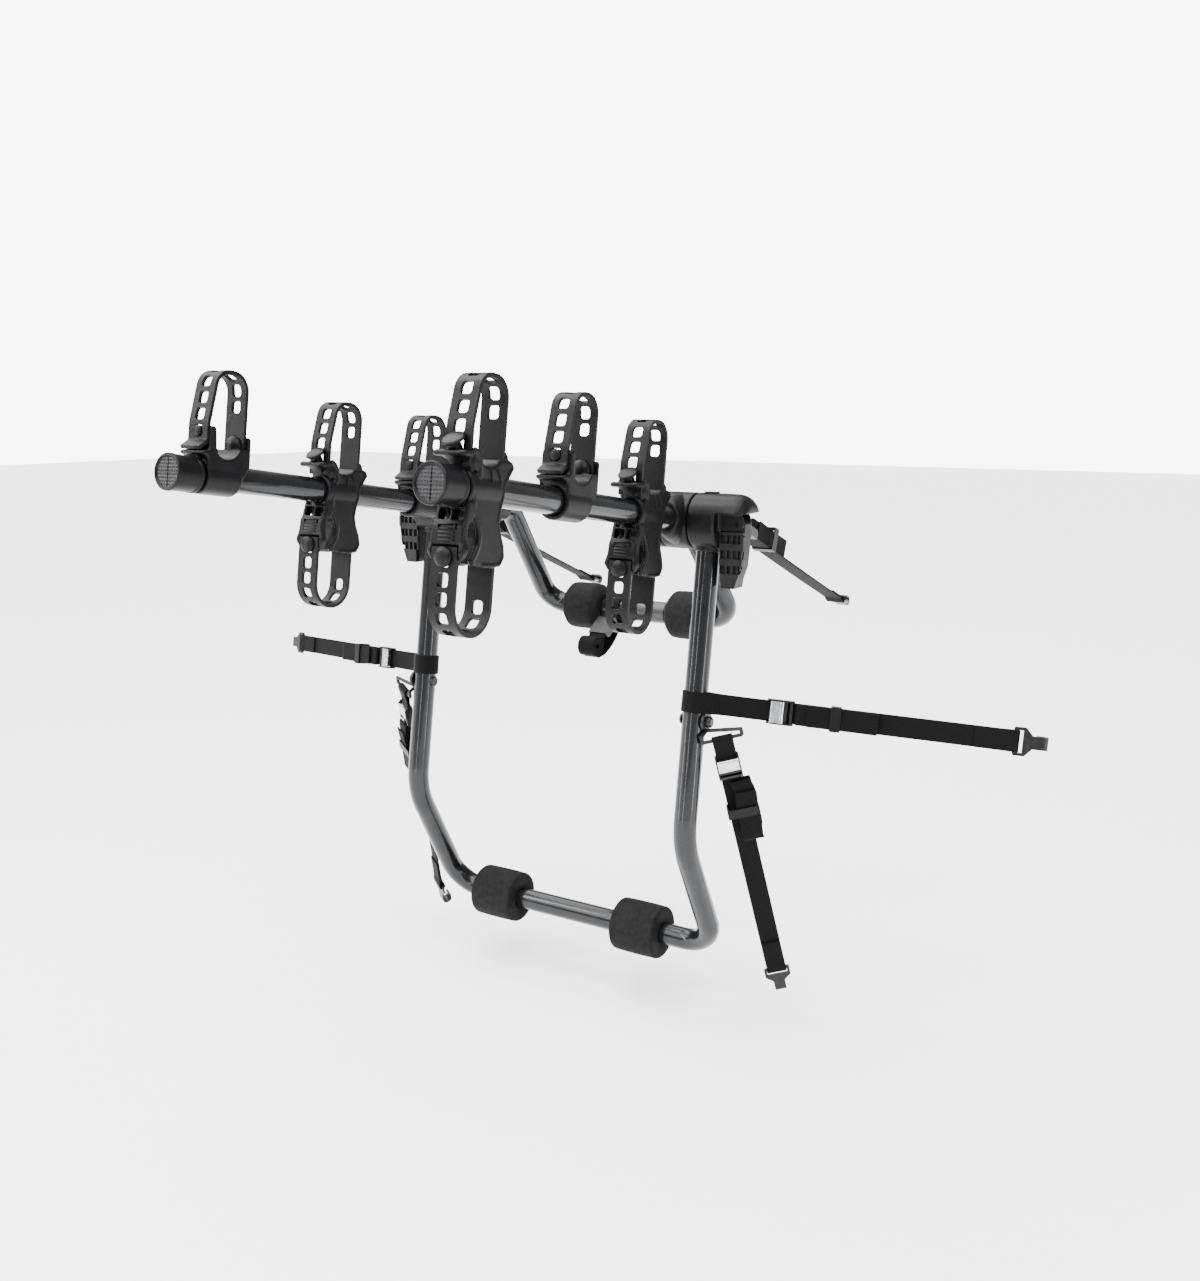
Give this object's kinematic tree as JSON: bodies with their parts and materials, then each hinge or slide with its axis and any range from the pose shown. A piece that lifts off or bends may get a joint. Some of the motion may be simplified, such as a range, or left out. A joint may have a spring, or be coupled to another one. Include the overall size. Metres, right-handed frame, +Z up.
{
  "type": "car bike rack",
  "caption": "Strap-on rack for the back of a car: a bent tube frame with foam pads, two folding arms with rubber strap cradles, and buckled webbing with hooks.",
  "frame": {"origin": "middle of the lower bar's axis, between its foam pads", "axes": "+X across the car to the right as seen from behind it, +Y forwards into the car, +Z up"},
  "size_m": [1.1824, 0.9136, 0.7903],
  "materials": {
    "painted_tube": "satin",
    "foam": "matte",
    "sleeve": "satin",
    "bolts": "satin",
    "moulding": "matte",
    "rubber_strap": "matte",
    "webbing": "matte",
    "buckle_steel": "satin",
    "cam_steel": "satin",
    "keeper": "matte",
    "hook_coating": "satin"
  },
  "bodies": {
    "main_frame": {"bottom_webbing_left": "webbing", "bottom_webbing_right": "webbing", "buckle_frames": "buckle_steel", "hub_bolts": "bolts", "hub_housing_left": "moulding", "hub_housing_right": "moulding", "hub_washers": "bolts", "leg_bolts": "bolts", "leg_eyelets": "bolts", "lever_pins": "bolts", "lower_pad_left": "foam", "lower_pad_right": "foam", "main_frame_tube": "painted_tube", "side_webbing_left": "webbing", "side_webbing_right": "webbing", "strap_hooks": "hook_coating", "strap_keepers": "keeper", "top_webbing_left": "webbing", "top_webbing_right": "webbing"},
    "rear_frame": {"rear_frame_tube": "painted_tube", "rear_pad_left": "foam", "rear_pad_right": "foam", "blank_sleeve": "sleeve", "rear_hubs": "moulding", "stow_strap": "webbing", "stow_frame": "buckle_steel"},
    "arm_left": {"arm_tube_left": "painted_tube", "arm_cap_left": "moulding", "arm_hub_left": "moulding", "cradle_left_front": "moulding", "cradle_left_rear": "moulding", "upper_strap_left_front": "rubber_strap", "upper_strap_left_rear": "rubber_strap"},
    "arm_right": {"arm_tube_right": "painted_tube", "arm_cap_right": "moulding", "arm_hub_right": "moulding", "cradle_right_middle": "moulding", "upper_strap_right_middle": "rubber_strap"},
    "steady_left_middle": {"cradle_left_middle": "moulding", "upper_strap_left_middle": "rubber_strap", "lower_strap_left_middle": "rubber_strap"},
    "steady_right_front": {"cradle_right_front": "moulding", "upper_strap_right_front": "rubber_strap", "lower_strap_right_front": "rubber_strap"},
    "steady_right_rear": {"cradle_right_rear": "moulding", "upper_strap_right_rear": "rubber_strap", "lower_strap_right_rear": "rubber_strap"},
    "lever_left": {"hub_lever_left": "moulding"},
    "button_left": {"hub_button_left": "moulding"},
    "side_cam_left": {"side_cam_left": "cam_steel"},
    "bottom_cam_left": {"bottom_cam_left": "cam_steel"},
    "top_cam_left": {"top_cam_left": "cam_steel"},
    "lever_right": {"hub_lever_right": "moulding"},
    "button_right": {"hub_button_right": "moulding"},
    "side_cam_right": {"side_cam_right": "cam_steel"},
    "bottom_cam_right": {"bottom_cam_right": "cam_steel"},
    "top_cam_right": {"top_cam_right": "cam_steel"},
    "stow_cam": {"stow_cam": "cam_steel"}
  },
  "joints": [
    {"name": "rear_frame_fold", "type": "hinge", "parent": "main_frame", "child": "rear_frame", "pos_m": [0, -0.031, 0.553], "axis": [1, 0, 0], "range_deg": [-25, 20]},
    {"name": "arm_fold_left", "type": "hinge", "parent": "main_frame", "child": "arm_left", "pos_m": [-0.172, -0.031, 0.553], "axis": [1, 0, 0], "range_deg": [-45, 45]},
    {"name": "lever_swing_left", "type": "hinge", "parent": "main_frame", "child": "lever_left", "pos_m": [-0.252, -0.039, 0.553], "axis": [0, 1, 0], "range_deg": [0, 85]},
    {"name": "button_press_left", "type": "slide", "parent": "main_frame", "child": "button_left", "axis": [0, 0, -1], "range_m": [0, 0.0015], "stiffness_N_per_m": 600, "springref_m": -0.002},
    {"name": "arm_fold_right", "type": "hinge", "parent": "main_frame", "child": "arm_right", "pos_m": [0.172, -0.031, 0.553], "axis": [1, 0, 0], "range_deg": [-45, 45]},
    {"name": "lever_swing_right", "type": "hinge", "parent": "main_frame", "child": "lever_right", "pos_m": [0.252, -0.039, 0.553], "axis": [0, -1, 0], "range_deg": [0, 85]},
    {"name": "button_press_right", "type": "slide", "parent": "main_frame", "child": "button_right", "axis": [0, 0, -1], "range_m": [0, 0.0015], "stiffness_N_per_m": 600, "springref_m": -0.002},
    {"name": "steady_swing_left_middle", "type": "hinge", "parent": "arm_left", "child": "steady_left_middle", "pos_m": [-0.172, -0.27238, 0.58864], "axis": [0, 0.9893, -0.1461], "range_deg": [-10, 10]},
    {"name": "steady_swing_right_front", "type": "hinge", "parent": "arm_right", "child": "steady_right_front", "pos_m": [0.172, -0.44946, 0.61479], "axis": [0, 0.9893, -0.1461], "range_deg": [-10, 10]},
    {"name": "steady_swing_right_rear", "type": "hinge", "parent": "arm_right", "child": "steady_right_rear", "pos_m": [0.172, -0.1418, 0.56936], "axis": [0, 0.9893, -0.1461], "range_deg": [-10, 0]},
    {"name": "side_cam_lift_left", "type": "hinge", "parent": "main_frame", "child": "side_cam_left", "pos_m": [-0.30747, -0.03765, 0.33289], "axis": [0.0179, -0.1595, -0.987], "range_deg": [0, 60], "stiffness_Nm_per_rad": 0.05, "springref_deg": -17.19},
    {"name": "side_cam_lift_right", "type": "hinge", "parent": "main_frame", "child": "side_cam_right", "pos_m": [0.30747, -0.03765, 0.33289], "axis": [0.0179, 0.1595, 0.987], "range_deg": [0, 60], "stiffness_Nm_per_rad": 0.05, "springref_deg": -17.19},
    {"name": "bottom_cam_lift_left", "type": "hinge", "parent": "main_frame", "child": "bottom_cam_left", "pos_m": [-0.25287, -0.06042, 0.26084], "axis": [0.851, -0.4692, -0.2358], "range_deg": [0, 60], "stiffness_Nm_per_rad": 0.05, "springref_deg": -17.19},
    {"name": "bottom_cam_lift_right", "type": "hinge", "parent": "main_frame", "child": "bottom_cam_right", "pos_m": [0.25287, -0.06042, 0.26084], "axis": [0.851, 0.4692, 0.2358], "range_deg": [0, 60], "stiffness_Nm_per_rad": 0.05, "springref_deg": -17.19},
    {"name": "top_cam_lift_left", "type": "hinge", "parent": "main_frame", "child": "top_cam_left", "pos_m": [-0.21002, 0.05473, 0.53683], "axis": [-0.9998, -0.0201, 0.008], "range_deg": [0, 60], "stiffness_Nm_per_rad": 0.05, "springref_deg": -17.19},
    {"name": "top_cam_lift_right", "type": "hinge", "parent": "main_frame", "child": "top_cam_right", "pos_m": [0.21002, 0.05473, 0.53683], "axis": [-0.9998, 0.0201, -0.008], "range_deg": [0, 60], "stiffness_Nm_per_rad": 0.05, "springref_deg": -17.19},
    {"name": "stow_cam_lift", "type": "hinge", "parent": "rear_frame", "child": "stow_cam", "pos_m": [-0.036, 0.12295, 0.37634], "axis": [1, 0, 0], "range_deg": [0, 60], "stiffness_Nm_per_rad": 0.05, "springref_deg": -17.19}
  ]
}
